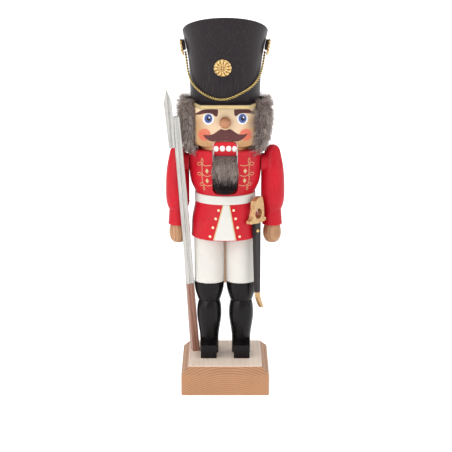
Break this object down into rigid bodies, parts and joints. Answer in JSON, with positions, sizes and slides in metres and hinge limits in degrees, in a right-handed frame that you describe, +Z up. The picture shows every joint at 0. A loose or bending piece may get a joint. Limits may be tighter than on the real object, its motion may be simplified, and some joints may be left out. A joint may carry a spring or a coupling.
{
  "type": "nutcracker figure",
  "caption": "Standing turned-wood soldier nutcracker with a lever jaw, flared hat, fur wig and beard, rifle and sabre, on a bevelled base block.",
  "frame": {"origin": "on the underside of the base block, under the turning axis of the body, head and hat", "axes": "+Z up along the turning axis; -Y is the figure's front, towards which the base reaches further; -X is the figure's own right side, where the rifle stands"},
  "size_m": [0.1286, 0.1142, 0.4012],
  "materials": {
    "beech": "clear satin lacquer on end-grain beech",
    "lever_wood": "bare sanded beech",
    "hand_wood": "clear satin lacquer",
    "dowel_wood": "bare",
    "black_paint": "satin paint on turned wood",
    "hat_paint": "satin paint on turned wood",
    "white_paint": "satin paint on turned wood",
    "red_paint": "satin paint on turned wood",
    "face_paint": "thin flesh stain under clear lacquer",
    "nose_stain": "brown stain under clear lacquer",
    "walnut": "brown stain, matt",
    "silver_paint": "silver paint on wood",
    "gold_paint": "gold paint on wood",
    "brass": "pressed and lacquered",
    "pin_steel": "plain",
    "fur": "rabbit fur, grey brown",
    "gold_cord": "metallic twisted cord"
  },
  "bodies": {
    "figure": {"base_block": "beech", "boot_left": "black_paint", "boot_right": "black_paint", "toe_left": "black_paint", "toe_right": "black_paint", "trouser_left": "white_paint", "trouser_right": "white_paint", "torso": "red_paint", "belt": "white_paint", "head": "face_paint", "nose": "nose_stain", "visor": "hat_paint", "hat": "hat_paint", "hat_cord": "gold_cord", "hat_dowel": "dowel_wood", "wig": "fur", "pivot_pin": "pin_steel", "arm_left": "red_paint", "arm_right": "red_paint", "hand_left": "hand_wood", "hand_right": "hand_wood", "rifle_barrel": "silver_paint", "rifle_stock": "walnut", "bayonet": "silver_paint", "rifle_peg": "dowel_wood", "sabre_hilt": "gold_paint", "sabre_scabbard": "black_paint", "scabbard_chape": "gold_paint", "scabbard_nail": "brass", "neck_dowels": "dowel_wood", "shoulder_dowels": "dowel_wood", "ankle_dowels": "dowel_wood", "knee_dowels": "dowel_wood", "hip_dowels": "dowel_wood", "rosette_front": "brass", "rosette_left": "brass", "rosette_right": "brass"},
    "lever": {"jaw_lever": "lever_wood", "beard": "fur"}
  },
  "joints": [
    {"name": "jaw_hinge", "type": "hinge", "parent": "figure", "child": "lever", "pos_m": [0, 0.006, 0.222], "axis": [1, 0, 0], "range_deg": [0, 24]}
  ]
}
